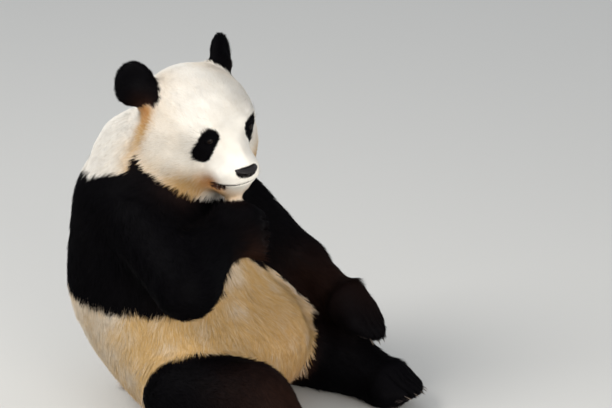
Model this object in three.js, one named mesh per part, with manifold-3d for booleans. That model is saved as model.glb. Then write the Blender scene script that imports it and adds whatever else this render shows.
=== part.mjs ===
// A giant panda, life size, sitting on the floor with its right forepaw raised to its mouth.
//
// Units are millimetres. +X is the way the trunk faces, +Y is the animal's left, and +Z is up.
// The origin lies on the floor, inside the flat that the animal sits on.
// Every surface is the outer one, at the tips of the coat.
//
// The animal is a set of named forms, each with a distance field: balls for the masses of the body and
// tapered limbs for the long bones. Forms that belong together are blended, a net of facets is laid over
// the blend, and the nets are parted at the neck and the joints with thin flat cuts.

import * as THREE from "three";
import { mergeVertices } from "three/addons/utils/BufferGeometryUtils.js";
import Module from "manifold-3d";

const wasm = await Module();
wasm.setup();

// ---------------------------------------------------------------- driving dimensions

const GAP = 0.5; // across a flat cut
const ROOM = 4; // round a solid that is let into another
const FACET = { trunk: 58, skull: 38, face: 19.5, ear: 14.5, limb: 47, paw: 18, tail: 28 }; // net spacing
const CHUNK = 3000; // edge of a cutting block, larger than the animal

const RIGHT = -1;
const LEFT = 1;
const SIDES = { right: RIGHT, left: LEFT };

// Where the head is, and how it is turned from the way the trunk faces.
const HEAD_AT = [36, -34, 700];
const HEAD_YAW = -27; // degrees, towards the animal's right
const HEAD_PITCH = 10; // degrees, nose down
const HEAD_ROLL = 7; // degrees, left ear up

const EYE = { forward: 101, apart: 106, up: 31, radius: 10.5 };
const EAR = { forward: -96, apart: 240, up: 106, wide: 48, tall: 58, thick: 18, flare: 38 };
const NOSE = { forward: 166, up: -36, wide: 29, deep: 19, tall: 17 };

// The joints of each limb, from the trunk outwards. `across` is the way the toes stand in their row,
// from the innermost one, and `knuckles` and `tips` are those of the middle toe.
const ARM = {
  right: { shoulder: [-70, -160, 505], elbow: [118, -285, 408], wrist: [134, -108, 492], knuckles: [178, -72, 474], tips: [186, -18, 458], across: [0.1, -0.12, -0.98], sole: [-1, 0.2, 0] },
  left: { shoulder: [-50, 156, 500], elbow: [125, 282, 270], wrist: [286, 194, 240], knuckles: [346, 188, 200], tips: [388, 188, 168], across: [-0.05, 0.99, 0.02], sole: [0, 0, -1] },
};
const LEG = {
  right: { hip: [88, -210, 119], knee: [268, -258, 138], ankle: [412, -300, 59], knuckles: [452, -312, 112], tips: [476, -318, 158], across: [-0.18, -0.97, 0], sole: [1, 0, 0] },
  left: { hip: [70, 196, 104], knee: [262, 215, 88], ankle: [405, 170, 58], knuckles: [456, 158, 52], tips: [500, 150, 58], across: [0.12, 0.98, 0], sole: [0, 0, -1] },
};
const ARM_RADII = { shoulder: 98, elbow: 75, wrist: 52 };
const LEG_RADII = { right: { hip: 121, knee: 94, ankle: 62 }, left: { hip: 108, knee: 82, ankle: 57 } };
const TOES = { forepaw: { pitch: 24, arc: 4, palm: 30, knuckle: 23, tip: 16 }, hind: { pitch: 22, arc: 4, palm: 32, knuckle: 24, tip: 16 } };
const TOE_COUNT = 5;
const CLAW = { length: 34, root: 8, radius: 6.5, curl: 14, sides: 6 };

// ---------------------------------------------------------------- vectors and distance fields

const add = (a, b, scale = 1) => a.map((value, i) => value + scale * b[i]);
const sub = (a, b) => add(a, b, -1);
const dot = (a, b) => a[0] * b[0] + a[1] * b[1] + a[2] * b[2];
const size = (a) => Math.hypot(...a);
const unit = (a) => a.map((value) => value / size(a));
const between = (a, b, share) => add(a, sub(b, a), share);

// A form is a distance field with the box that holds it.
function form(distance, low, high) {
  return { distance, low, high };
}

// An ellipsoid along the row axes.
function ball(centre, radii) {
  const distance = (p) => {
    let near = 0;
    let steep = 0;
    for (let i = 0; i < 3; i++) {
      const share = (p[i] - centre[i]) / radii[i];
      near += share * share;
      steep += (share / radii[i]) ** 2;
    }
    if (near < 1e-9) return -Math.min(...radii);
    return (Math.sqrt(near) * (Math.sqrt(near) - 1)) / Math.sqrt(steep);
  };
  return form(distance, sub(centre, radii), add(centre, radii));
}

// A round limb from a to b whose radius goes from one end's to the other's.
function limb(a, b, radiusA, radiusB) {
  const along = sub(b, a);
  const length2 = dot(along, along);
  const distance = (p) => {
    const out = sub(p, a);
    const share = Math.min(1, Math.max(0, dot(out, along) / length2));
    return size(add(out, along, -share)) - (radiusA + (radiusB - radiusA) * share);
  };
  const reach = Math.max(radiusA, radiusB);
  const low = a.map((value, i) => Math.min(value, b[i]) - reach);
  const high = a.map((value, i) => Math.max(value, b[i]) + reach);
  return form(distance, low, high);
}

// Forms run together, with a fillet about as wide as `soft`.
function blend(soft, ...forms) {
  const distance = (p) => {
    let least = forms[0].distance(p);
    for (let i = 1; i < forms.length; i++) {
      const next = forms[i].distance(p);
      const near = Math.max(soft - Math.abs(least - next), 0) / soft;
      least = Math.min(least, next) - (near * near * soft) / 4;
    }
    return least;
  };
  const low = [0, 1, 2].map((i) => Math.min(...forms.map((f) => f.low[i])));
  const high = [0, 1, 2].map((i) => Math.max(...forms.map((f) => f.high[i])));
  return form(distance, low, high);
}

// A form with a hollow pressed into it, whose rim is rounded over about `soft`.
function hollow(soft, base, dent) {
  const distance = (p) => {
    const outside = base.distance(p);
    const inside = -dent.distance(p);
    const near = Math.max(soft - Math.abs(outside - inside), 0) / soft;
    return Math.max(outside, inside) + (near * near * soft) / 4;
  };
  return form(distance, base.low, base.high);
}

// A form that was shaped in a turned frame, placed in the row's frame.
function placed(matrix, inner) {
  const back = matrix.clone().invert();
  const point = new THREE.Vector3();
  const distance = (p) => inner.distance(point.set(...p).applyMatrix4(back).toArray());
  const low = [Infinity, Infinity, Infinity];
  const high = [-Infinity, -Infinity, -Infinity];
  for (const x of [inner.low[0], inner.high[0]])
    for (const y of [inner.low[1], inner.high[1]])
      for (const z of [inner.low[2], inner.high[2]]) {
        const corner = point.set(x, y, z).applyMatrix4(matrix).toArray();
        corner.forEach((value, i) => {
          low[i] = Math.min(low[i], value);
          high[i] = Math.max(high[i], value);
        });
      }
  return form(distance, low, high);
}

// ---------------------------------------------------------------- nets and solids

function slopeAt(distance, p) {
  const step = 0.5;
  return [0, 1, 2].map((i) => {
    const ahead = p.slice();
    const behind = p.slice();
    ahead[i] += step;
    behind[i] -= step;
    return (distance(ahead) - distance(behind)) / (2 * step);
  });
}

// Moves a point onto the surface where the field is `level`, by at most `reach`.
function settle(distance, start, level, reach) {
  let p = start;
  for (let turn = 0; turn < 4; turn++) {
    const slope = slopeAt(distance, p);
    const step = (level - distance(p)) / Math.max(dot(slope, slope), 1e-3);
    p = add(p, slope, step);
  }
  return size(sub(p, start)) > reach ? start : p;
}

// A closed net of facets over a form: one vertex in each cell of a grid that the surface crosses, and
// one quad round each grid edge that it crosses.
function netOver(shape, cell, level = 0) {
  const { distance } = shape;
  const low = shape.low.map((value) => value - 2.3 * cell);
  const count = shape.high.map((value, i) => Math.ceil((value - low[i]) / cell) + 4);
  const stride = [1, count[0], count[0] * count[1]];
  const at = (i, j, k) => i + j * stride[1] + k * stride[2];
  const field = new Float64Array(count[0] * count[1] * count[2]);
  for (let k = 0; k < count[2]; k++)
    for (let j = 0; j < count[1]; j++)
      for (let i = 0; i < count[0]; i++)
        field[at(i, j, k)] = distance([low[0] + i * cell, low[1] + j * cell, low[2] + k * cell]) - level;

  const vertices = [];
  const vertexOf = new Map();
  const corners = [0, 1, 2, 3, 4, 5, 6, 7].map((c) => [c & 1, (c >> 1) & 1, c >> 2]);
  for (let k = 0; k < count[2] - 1; k++)
    for (let j = 0; j < count[1] - 1; j++)
      for (let i = 0; i < count[0] - 1; i++) {
        const sum = [0, 0, 0];
        let crossings = 0;
        for (const a of corners)
          for (let axis = 0; axis < 3; axis++) {
            if (a[axis]) continue;
            const fromValue = field[at(i + a[0], j + a[1], k + a[2])];
            const toValue = field[at(i + a[0], j + a[1], k + a[2]) + stride[axis]];
            if (fromValue < 0 === toValue < 0) continue;
            const share = fromValue / (fromValue - toValue);
            for (let n = 0; n < 3; n++) sum[n] += a[n] + (n === axis ? share : 0);
            crossings++;
          }
        if (!crossings) continue;
        const start = [i, j, k].map((value, n) => low[n] + (value + sum[n] / crossings) * cell);
        vertexOf.set(at(i, j, k), vertices.length);
        vertices.push(settle(distance, start, level, 0.6 * cell));
      }

  const triangles = [];
  for (let k = 1; k < count[2] - 1; k++)
    for (let j = 1; j < count[1] - 1; j++)
      for (let i = 1; i < count[0] - 1; i++)
        for (let axis = 0; axis < 3; axis++) {
          const here = at(i, j, k);
          const inside = field[here] < 0;
          if (inside === field[here + stride[axis]] < 0) continue;
          const u = stride[(axis + 1) % 3];
          const v = stride[(axis + 2) % 3];
          const quad = [here - u - v, here - v, here, here - u].map((cellIndex) => vertexOf.get(cellIndex));
          if (!inside) quad.reverse();
          const [a, b, c, d] = quad;
          const firstShorter = size(sub(vertices[a], vertices[c])) < size(sub(vertices[b], vertices[d]));
          triangles.push(...(firstShorter ? [a, b, c, a, c, d] : [a, b, d, b, c, d]));
        }

  const geometry = new THREE.BufferGeometry();
  geometry.setAttribute("position", new THREE.Float32BufferAttribute(vertices.flat(), 3));
  geometry.setIndex(triangles);
  return geometry;
}

// A closed geometry as a solid that can be cut and joined.
function solidOf(geometry) {
  const bare = geometry.clone();
  bare.deleteAttribute("normal");
  bare.deleteAttribute("uv");
  const merged = mergeVertices(bare, 1e-3);
  return new wasm.Manifold(
    new wasm.Mesh({
      numProp: 3,
      vertProperties: merged.attributes.position.array,
      triVerts: new Uint32Array(merged.index.array),
    }),
  );
}

function geometryOf(solid) {
  const mesh = solid.getMesh();
  const geometry = new THREE.BufferGeometry();
  geometry.setAttribute("position", new THREE.BufferAttribute(mesh.vertProperties, 3));
  geometry.setIndex(new THREE.BufferAttribute(mesh.triVerts, 1));
  return geometry.toNonIndexed();
}

const net = (shape, cell, level = 0) => solidOf(netOver(shape, cell, level));

// The half of space on the side of a plane that its normal points to, as a large block.
function beyond(point, normal, shift = 0) {
  const facing = unit(normal);
  const block = new THREE.BoxGeometry(CHUNK, CHUNK, CHUNK);
  const turn = new THREE.Quaternion().setFromUnitVectors(new THREE.Vector3(0, 0, 1), new THREE.Vector3(...facing));
  const centre = add(point, facing, CHUNK / 2 + shift);
  block.applyMatrix4(new THREE.Matrix4().compose(new THREE.Vector3(...centre), turn, new THREE.Vector3(1, 1, 1)));
  return solidOf(block);
}

// A cut is a plane. `outer` keeps what its normal points to, `inner` keeps the rest, less the gap.
const outer = (solid, cut) => solid.intersect(beyond(cut.point, cut.normal, GAP / 2));
const inner = (solid, cut) => solid.subtract(beyond(cut.point, cut.normal, -GAP / 2));

const aboveFloor = (solid) => solid.intersect(beyond([0, 0, 0], [0, 0, 1]));

// The largest body of a solid, without slivers that a cut leaves.
function largest(solid) {
  return solid.decompose().reduce((best, body) => (body.volume() > best.volume() ? body : best));
}

// ---------------------------------------------------------------- trunk, neck and tail

const BELLY = ball([26, 0, 160], [244, 252, 166]);
const BACK = ball([-96, 0, 300], [222, 248, 210]);
const CHEST = ball([-104, 0, 440], [190, 212, 190]);
const HUMP = ball([-124, -6, 520], [152, 172, 112]);
const NECK = ball([-100, -20, 622], [138, 116, 116]);
const SHOULDERS = Object.values(SIDES).map((side) => ball([-70, side * 148, 478], [118, 76, 112]));
const HAUNCHES = Object.values(SIDES).map((side) => ball([66, side * 165, 118], [125, 88, 108]));

const trunkForm = blend(90, BACK, BELLY, CHEST, HUMP, ...SHOULDERS, ...HAUNCHES);
const trunkWithNeck = blend(70, trunkForm, NECK);

const TAIL_ROOT = [-120, 0, 92];
const TAIL_TIP = [-176, 4, 28];
const tailForm = limb(TAIL_ROOT, TAIL_TIP, 40, 28);

// ---------------------------------------------------------------- head

// The head is shaped in its own frame: x forward to the nose, y to the left, z up.
const degrees = THREE.MathUtils.degToRad;
const headFrame = new THREE.Matrix4().compose(
  new THREE.Vector3(...HEAD_AT),
  new THREE.Quaternion().setFromEuler(new THREE.Euler(degrees(HEAD_ROLL), degrees(HEAD_PITCH), degrees(HEAD_YAW), "ZYX")),
  new THREE.Vector3(1, 1, 1),
);

const inHead = (shape) => placed(headFrame, shape);
const headPoint = (p) => new THREE.Vector3(...p).applyMatrix4(headFrame).toArray();
const bothSides = (make) => Object.values(SIDES).map(make);

function headShape() {
  const skull = blend(
    45,
    ball([-32, 0, 28], [138, 126, 109]), // braincase
    ball([42, 0, 36], [82, 88, 70]), // forehead
    ...bothSides((side) => ball([-24, side * 72, -63], [92, 83, 94])), // cheeks
    ball([-12, 0, -94], [104, 114, 86]), // jaw and ruff
  );
  const face = blend(
    28,
    skull,
    limb([70, 0, 12], [146, 0, -28], 48, 29), // bridge of the nose
    ball([118, 0, -46], [58, 51, 36]), // muzzle
    ...bothSides((side) => ball([126, side * 23, -56], [36, 30, 26])), // lips
    ball([98, 0, -98], [58, 42, 26]), // chin
    ...bothSides((side) => ball([84, side * 48, 50], [34, 28, 22])), // brows
  );
  return bothSides((side) =>
    ball([EYE.forward + 12, (side * EYE.apart) / 2, EYE.up - 2], [22, 17, 15]),
  ).reduce((shape, socket) => hollow(9, shape, socket), face);
}

const headForm = inHead(headShape());

// An ear is a thick round cup that opens forwards and outwards, on a root that runs forwards along the skull.
function earForm(side) {
  const turn = new THREE.Quaternion().setFromEuler(new THREE.Euler(degrees(side * 12), degrees(-8), degrees(side * EAR.flare), "ZYX"));
  const at = new THREE.Vector3(EAR.forward, (side * EAR.apart) / 2, EAR.up);
  const cup = hollow(
    6,
    ball([0, 0, 0], [EAR.thick, EAR.wide, EAR.tall]),
    ball([EAR.thick * 1.25, 0, 0], [EAR.thick, EAR.wide * 0.72, EAR.tall * 0.73]),
  );
  const root = limb([EAR.forward + 14, side * (EAR.apart / 2 - 10), EAR.up - 12], [EAR.forward + 46, side * (EAR.apart / 2 - 32), EAR.up - 16], 27, 22);
  return inHead(blend(12, placed(new THREE.Matrix4().compose(at, turn, new THREE.Vector3(1, 1, 1)), cup), root));
}

// The net is finer in front of this plane, across the temples.
const FACE_PLANE = { point: headPoint([58, 0, 0]), normal: unit(sub(headPoint([1, 0, 0]), headPoint([0, 0, 0]))) };

// ---------------------------------------------------------------- limbs

// The toes of a paw: the middle one is the longest, the others stand back along a shallow arc.
function toesOf({ knuckles, tips, across }, { pitch, arc }) {
  const ahead = unit(sub(tips, knuckles));
  return Array.from({ length: TOE_COUNT }, (_, toe) => {
    const place = toe - (TOE_COUNT - 1) / 2;
    const back = -arc * place * place;
    const knuckle = add(add(knuckles, across, pitch * place), ahead, back);
    const tip = add(add(tips, across, 0.92 * pitch * place), ahead, 1.25 * back);
    return { knuckle, tip };
  });
}

// The paw fans out from the wrist or the ankle to the knuckles, and each toe goes on from its own.
function pawForm(joints, root, { palm, knuckle: atKnuckle, tip: atTip, ...row }) {
  const toes = toesOf(joints, row);
  const fan = toes.map(({ knuckle }) => limb(between(root, knuckle, 0.3), knuckle, palm + 6, atKnuckle + 3));
  return blend(9, blend(26, ...fan), ...toes.map(({ knuckle, tip }) => limb(knuckle, tip, atKnuckle, atTip)));
}

function armForm(joints) {
  const { shoulder, elbow, wrist } = joints;
  return blend(
    34,
    limb(shoulder, elbow, ARM_RADII.shoulder, ARM_RADII.elbow),
    limb(elbow, wrist, ARM_RADII.elbow, ARM_RADII.wrist),
    pawForm(joints, wrist, TOES.forepaw),
  );
}

function legForm(joints, radii) {
  const { hip, knee, ankle } = joints;
  return blend(
    40,
    limb(hip, knee, radii.hip, radii.knee),
    limb(knee, ankle, radii.knee, radii.ankle),
    pawForm(joints, ankle, TOES.hind),
  );
}

// A claw is a slim cone that leaves the tip of its toe and curls towards the sole.
function clawSolid({ knuckle, tip }, sole) {
  const ahead = unit(sub(tip, knuckle));
  const down = unit(add(sole, ahead, -dot(sole, ahead)));
  const side = [down[1] * ahead[2] - down[2] * ahead[1], down[2] * ahead[0] - down[0] * ahead[2], down[0] * ahead[1] - down[1] * ahead[0]];
  const total = CLAW.root + CLAW.length;
  const cone = new THREE.ConeGeometry(CLAW.radius, total, CLAW.sides, 2).toNonIndexed();
  const at = cone.attributes.position;
  for (let i = 0; i < at.count; i++) {
    const share = at.getY(i) / total + 0.5;
    const reach = CLAW.root * -1 + total * share;
    const fall = CLAW.curl * share * share;
    const p = add(add(add(tip, ahead, reach), down, fall + at.getX(i)), side, at.getZ(i));
    at.setXYZ(i, ...p);
  }
  return solidOf(cone);
}

// ---------------------------------------------------------------- parting

const NECK_CUT = { point: [-80, -15, 570], normal: unit([0.28, -0.1, 0.95]) };

const materialOf = (color, roughness) => new THREE.MeshStandardMaterial({ color, roughness, metalness: 0 });
const WHITE_COAT = materialOf(0xe9e0cf, 0.95);
const CREAM_COAT = materialOf(0xd8c3a0, 0.95);
const BLACK_COAT = materialOf(0x17151a, 0.9);
const EYE_SHINE = materialOf(0x0c0806, 0.08);
const NOSE_SKIN = materialOf(0x141214, 0.45);
const CLAW_HORN = materialOf(0x3a322b, 0.35);

const panda = new THREE.Group();
panda.name = "giant_panda";

function show(name, solid, material) {
  const mesh = new THREE.Mesh(geometryOf(largest(solid)), material);
  mesh.name = name;
  panda.add(mesh);
}

const headRoom = net(headForm, FACET.skull, ROOM);
const body = aboveFloor(net(trunkWithNeck, FACET.trunk)).subtract(headRoom);
const bodyRoom = net(trunkWithNeck, FACET.trunk, ROOM).add(headRoom);
show("trunk", inner(body, NECK_CUT), CREAM_COAT);
show("neck", outer(body, NECK_CUT), WHITE_COAT);
show("tail", aboveFloor(net(tailForm, FACET.tail)).subtract(bodyRoom), WHITE_COAT);

const ball3 = (centre, radii, level = 0) => {
  const geometry = new THREE.SphereGeometry(1, 10, 7);
  geometry.scale(...radii.map((radius) => radius + level));
  geometry.applyMatrix4(headFrame.clone().multiply(new THREE.Matrix4().makeTranslation(...centre)));
  return solidOf(geometry);
};
const eyeBall = (side, level) => ball3([EYE.forward, (side * EYE.apart) / 2, EYE.up], [EYE.radius, EYE.radius, EYE.radius], level);
const noseBall = (level) => ball3([NOSE.forward, 0, NOSE.up], [NOSE.deep, NOSE.wide, NOSE.tall], level);

const skullNet = net(headForm, FACET.skull).subtract(beyond(FACE_PLANE.point, FACE_PLANE.normal, GAP));
const faceNet = net(headForm, FACET.face).intersect(beyond(FACE_PLANE.point, FACE_PLANE.normal));
let head = skullNet.add(faceNet).subtract(noseBall(GAP));
for (const side of Object.values(SIDES)) head = head.subtract(eyeBall(side, GAP));
show("head", head, WHITE_COAT);
show("nose", noseBall(0), NOSE_SKIN);

for (const [name, side] of Object.entries(SIDES)) {
  show(`eye_${name}`, eyeBall(side, 0), EYE_SHINE);
  show(`ear_${name}`, net(earForm(side), FACET.ear).subtract(bodyRoom), BLACK_COAT);
}

// A limb is parted across two of its joints into an upper part, a lower part and a paw. The paw is cut
// from a finer net, and the claws begin at its surface.
function showLimb(shape, [top, middle, end], names, joints, row, sole) {
  const middleCut = { point: middle, normal: unit(add(unit(sub(middle, top)), unit(sub(end, middle)))) };
  const endCut = { point: end, normal: unit(sub(end, middle)) };
  const coarse = aboveFloor(net(shape, FACET.limb)).subtract(bodyRoom);
  show(names.upper, inner(coarse, middleCut), BLACK_COAT);
  show(names.lower, inner(outer(coarse, middleCut), endCut), BLACK_COAT);
  const paw = outer(outer(aboveFloor(net(shape, FACET.paw)), middleCut), endCut).subtract(bodyRoom);
  show(names.paw, paw, BLACK_COAT);
  const pawRoom = net(pawForm(joints, end, row), FACET.paw, ROOM);
  toesOf(joints, row).forEach((toe, i) => show(`claw_${names.paw}_${i + 1}`, clawSolid(toe, sole).subtract(pawRoom), CLAW_HORN));
}

for (const name of Object.keys(SIDES)) {
  const arm = ARM[name];
  const armNames = { upper: `upper_arm_${name}`, lower: `forearm_${name}`, paw: `forepaw_${name}` };
  showLimb(armForm(arm), [arm.shoulder, arm.elbow, arm.wrist], armNames, arm, TOES.forepaw, arm.sole);
  const leg = LEG[name];
  const legNames = { upper: `thigh_${name}`, lower: `shin_${name}`, paw: `hind_foot_${name}` };
  showLimb(legForm(leg, LEG_RADII[name]), [leg.hip, leg.knee, leg.ankle], legNames, leg, TOES.hind, leg.sole);
}

export default panda;
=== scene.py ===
# %% [markdown]
# # A giant panda, sitting
# The real animal is a heavy body under a dense, plush coat, so nothing of it has a hard edge
# but the claws, the nose and the eyes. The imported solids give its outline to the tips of
# the coat. This lesson turns them into one skin without seams, works the face into it, and
# then covers it with tufts that lie as the hair does. A particle coat would be quicker, but
# it's lost when the model leaves Blender, so each tuft is a small closed mesh.

# %% Load the solids
import math

import bmesh
import bpy
import numpy as np
from mathutils import Matrix, Vector
from mathutils.bvhtree import BVHTree
from mathutils.kdtree import KDTree


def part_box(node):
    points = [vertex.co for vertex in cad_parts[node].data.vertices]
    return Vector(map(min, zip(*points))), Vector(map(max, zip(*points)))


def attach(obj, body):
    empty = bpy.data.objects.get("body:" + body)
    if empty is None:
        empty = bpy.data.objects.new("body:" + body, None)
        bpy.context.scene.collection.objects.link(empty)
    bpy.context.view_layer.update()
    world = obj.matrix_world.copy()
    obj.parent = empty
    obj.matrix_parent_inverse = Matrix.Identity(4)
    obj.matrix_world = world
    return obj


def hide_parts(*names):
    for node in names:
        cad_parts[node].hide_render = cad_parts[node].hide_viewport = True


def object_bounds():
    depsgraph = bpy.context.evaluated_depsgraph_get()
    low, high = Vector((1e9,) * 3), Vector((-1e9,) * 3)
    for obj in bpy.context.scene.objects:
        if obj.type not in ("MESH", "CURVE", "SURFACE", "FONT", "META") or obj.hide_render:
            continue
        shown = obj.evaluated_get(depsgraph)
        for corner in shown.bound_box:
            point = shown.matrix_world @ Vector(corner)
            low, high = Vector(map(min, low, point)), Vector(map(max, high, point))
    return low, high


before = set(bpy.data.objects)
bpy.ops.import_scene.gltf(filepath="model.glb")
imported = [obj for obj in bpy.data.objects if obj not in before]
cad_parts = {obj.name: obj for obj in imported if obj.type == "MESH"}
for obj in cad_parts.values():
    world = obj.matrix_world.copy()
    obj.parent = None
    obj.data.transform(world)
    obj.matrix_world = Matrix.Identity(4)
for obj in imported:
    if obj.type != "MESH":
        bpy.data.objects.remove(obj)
cad_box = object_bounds()
MM = 0.001
print("solids", len(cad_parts), "box", [[round(v, 3) for v in c] for c in cad_box])


def in_scene(name, data):
    thing = bpy.data.objects.new(name, data)
    bpy.context.collection.objects.link(thing)
    return thing


# %% [markdown]
# ## The camera
# The view is from in front of the panda's right shoulder, a little above its head, with
# a long lens that keeps the far arm nearly as large as the near one. Three directions
# place it: to the right of the view, up in it, and back towards the lens.

# %% Place the camera
AZIMUTH = math.radians(25)
ELEVATION = math.radians(19)
AIM = Vector((0.1659, 0.2463, 0.4448))
DISTANCE = 6.0
LENS = 147.06

right = Vector((math.cos(AZIMUTH), math.sin(AZIMUTH), 0))
back = Vector((
    math.sin(AZIMUTH) * math.cos(ELEVATION),
    -math.cos(AZIMUTH) * math.cos(ELEVATION),
    math.sin(ELEVATION),
))
up = back.cross(right)
camera = in_scene("camera", bpy.data.cameras.new("camera"))
turned = Matrix((right, up, back)).transposed().to_4x4()
camera.matrix_world = Matrix.Translation(AIM + back * DISTANCE) @ turned
camera.data.lens = LENS
camera.data.sensor_width = 36
camera.data.sensor_fit = "HORIZONTAL"
camera.data.clip_end = 100
bpy.context.scene.camera = camera
print("camera at", [round(v, 2) for v in camera.location])

# %% [markdown]
# ## Floor and light
# A plain pale floor and soft light suit a black and white coat: one large lamp above on
# the left draws the forms of the white parts, a low one opens up the black ones, and
# an even pale sky keeps the shadows light.

# %% Lay the floor and hang the lamps
def new_material(name, roughness, specular=0.5):
    material = bpy.data.materials.new(name)
    material.use_nodes = True
    shader = material.node_tree.nodes["Principled BSDF"]
    shader.inputs["Roughness"].default_value = roughness
    shader.inputs["Specular IOR Level"].default_value = specular
    return material, material.node_tree, shader


FLOOR_REACH = 30.0
floor_mesh = bpy.data.meshes.new("floor")
floor_mesh.from_pydata(
    [(-FLOOR_REACH, -FLOOR_REACH, 0), (FLOOR_REACH, -FLOOR_REACH, 0),
     (FLOOR_REACH, FLOOR_REACH, 0), (-FLOOR_REACH, FLOOR_REACH, 0)],
    [], [(0, 1, 2, 3)])
pale_floor, _, shader = new_material("pale_floor", 0.9, 0.05)
shader.inputs["Base Color"].default_value = (0.60, 0.59, 0.56, 1)
floor_mesh.materials.append(pale_floor)
in_scene("floor", floor_mesh)


def soft_lamp(name, place, target, size, power, colour):
    data = bpy.data.lights.new(name, "AREA")
    data.shape = "DISK"
    data.size = size
    data.energy = power
    data.color = colour
    lamp = in_scene(name, data)
    lamp.location = place
    lamp.rotation_euler = (Vector(target) - Vector(place)).to_track_quat("-Z", "Y").to_euler()


soft_lamp("key", (-2.0, -2.6, 3.9), (0.1, 0, 0.4), 2.4, 166, (1.0, 0.975, 0.94))
soft_lamp("fill", (3.2, -2.6, 1.0), (0.1, 0, 0.3), 2.6, 108, (1.0, 0.96, 0.90))
world = bpy.data.worlds.new("sky")
world.use_nodes = True
world.node_tree.nodes["Background"].inputs["Color"].default_value = (0.90, 0.94, 1.0, 1)
world.node_tree.nodes["Background"].inputs["Strength"].default_value = 0.72
bpy.context.scene.world = world
bpy.context.scene.view_settings.view_transform = "Standard"

# %% [markdown]
# ## One skin
# Eighteen solids make up the flesh, with thin gaps between them. Copies of them, grown by
# a few millimetres, overlap, and a voxel remesh turns that into a single closed surface.
# The eyes and the nose go in too, so that no pits are left under them. The solids
# are faceted, so the skin is then evened out, most on the trunk, where the facets are
# large. That draws it in a little, and a slow, wide correction puts it back.

# %% Join, remesh and even out
LIMBS = ["upper_arm", "forearm", "forepaw", "thigh", "shin", "hind_foot"]
FLESH = ["trunk", "neck", "tail", "head", "ear_right", "ear_left"]
FLESH += [f"{limb}_{side}" for limb in LIMBS for side in ("right", "left")]
UNDER_SKIN = FLESH + ["eye_right", "eye_left", "nose"]
SWELL = 3.0 * MM
VOXEL = 6.8 * MM


def mesh_from(form, name):
    mesh = bpy.data.meshes.new(name)
    form.to_mesh(mesh)
    form.free()
    return mesh


def joined_copy(names, swell):
    form = bmesh.new()
    for name in names:
        form.from_mesh(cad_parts[name].data)
    bmesh.ops.remove_doubles(form, verts=form.verts, dist=1e-5)
    form.normal_update()
    for v in form.verts:
        v.co += v.normal * swell
    return mesh_from(form, "joined")


def evaluated_mesh(thing):
    bpy.context.collection.objects.link(thing)
    depsgraph = bpy.context.evaluated_depsgraph_get()
    mesh = bpy.data.meshes.new_from_object(thing.evaluated_get(depsgraph))
    bpy.data.objects.remove(thing)
    return mesh


def remeshed(mesh, size):
    thing = bpy.data.objects.new("remeshed", mesh)
    voxels = thing.modifiers.new("voxels", "REMESH")
    voxels.mode = "VOXEL"
    voxels.voxel_size = size
    return evaluated_mesh(thing)


def largest_shell(mesh):
    form = bmesh.new()
    form.from_mesh(mesh)
    left = set(form.verts)
    shells = []
    while left:
        ring = [left.pop()]
        shell = list(ring)
        while ring:
            here = ring.pop()
            for edge in here.link_edges:
                there = edge.other_vert(here)
                if there in left:
                    left.remove(there)
                    ring.append(there)
                    shell.append(there)
        shells.append(shell)
    shells.sort(key=len)
    spare = [v for shell in shells[:-1] for v in shell]
    bmesh.ops.delete(form, geom=spare, context="VERTS")
    form.to_mesh(mesh)
    form.free()
    return len(shells)


skin_mesh = remeshed(joined_copy(UNDER_SKIN, SWELL), VOXEL)
print("shells", largest_shell(skin_mesh), "skin points", len(skin_mesh.vertices))


# %% Read and write a mesh as arrays
def read(items, label, width, kind=np.float32):
    flat = np.empty(len(items) * width, kind)
    items.foreach_get(label, flat)
    return flat.reshape(-1, width)


def places_of(mesh):
    return read(mesh.vertices, "co", 3).astype(float)


def put_places(mesh, places):
    mesh.vertices.foreach_set("co", places.astype(np.float32).ravel())
    mesh.update()


def put_values(mesh, label, values):
    attribute = mesh.attributes.new(label, "FLOAT", "POINT")
    attribute.data.foreach_set("value", values.astype(np.float32))


def normals_of(mesh):
    return read(mesh.vertex_normals, "vector", 3).astype(float)


def edges_of(mesh):
    return read(mesh.edges, "vertices", 2, np.int32)


def evened(values, edges, times, share=0.5):
    """The values drawn towards their neighbours' mean, again and again."""
    one = values.ndim == 1
    made = values.reshape(len(values), -1).copy()
    count = len(made)
    a, b = edges.T
    around = np.bincount(a, minlength=count) + np.bincount(b, minlength=count)
    around = np.maximum(around, 1)
    share = np.broadcast_to(np.asarray(share, float).reshape(-1, 1), (count, 1))
    for _ in range(times):
        for k in range(made.shape[1]):
            column = made[:, k]
            total = np.bincount(a, column[b], count) + np.bincount(b, column[a], count)
            made[:, k] = column + share[:, 0] * (total / around - column)
    return made[:, 0] if one else made


def unit(vectors):
    return vectors / np.maximum(np.linalg.norm(vectors, axis=-1, keepdims=True), 1e-12)


def ramp(low, high, value):
    t = np.clip((value - low) / (high - low), 0, 1)
    return t * t * (3 - 2 * t)


# %% Which solid each point of the skin came from
def owners(places):
    corners, triangles, owner = [], [], []
    for number, name in enumerate(UNDER_SKIN):
        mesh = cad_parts[name].data
        start = len(corners)
        corners += [v.co.copy() for v in mesh.vertices]
        for face in mesh.polygons:
            triangles.append([start + v for v in face.vertices])
            owner.append(number)
    tree = BVHTree.FromPolygons(corners, triangles)
    return np.array([owner[tree.find_nearest(Vector(p))[2]] for p in places])


outline = places_of(skin_mesh)
owner = owners(outline)
edges = edges_of(skin_mesh)


def shares(table):
    """One number for each point, by the solid that it came from."""
    by_owner = [
        next(value for start, value in table.items() if name.startswith(start))
        for name in UNDER_SKIN
    ]
    return np.array(by_owner, float)[owner]


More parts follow.
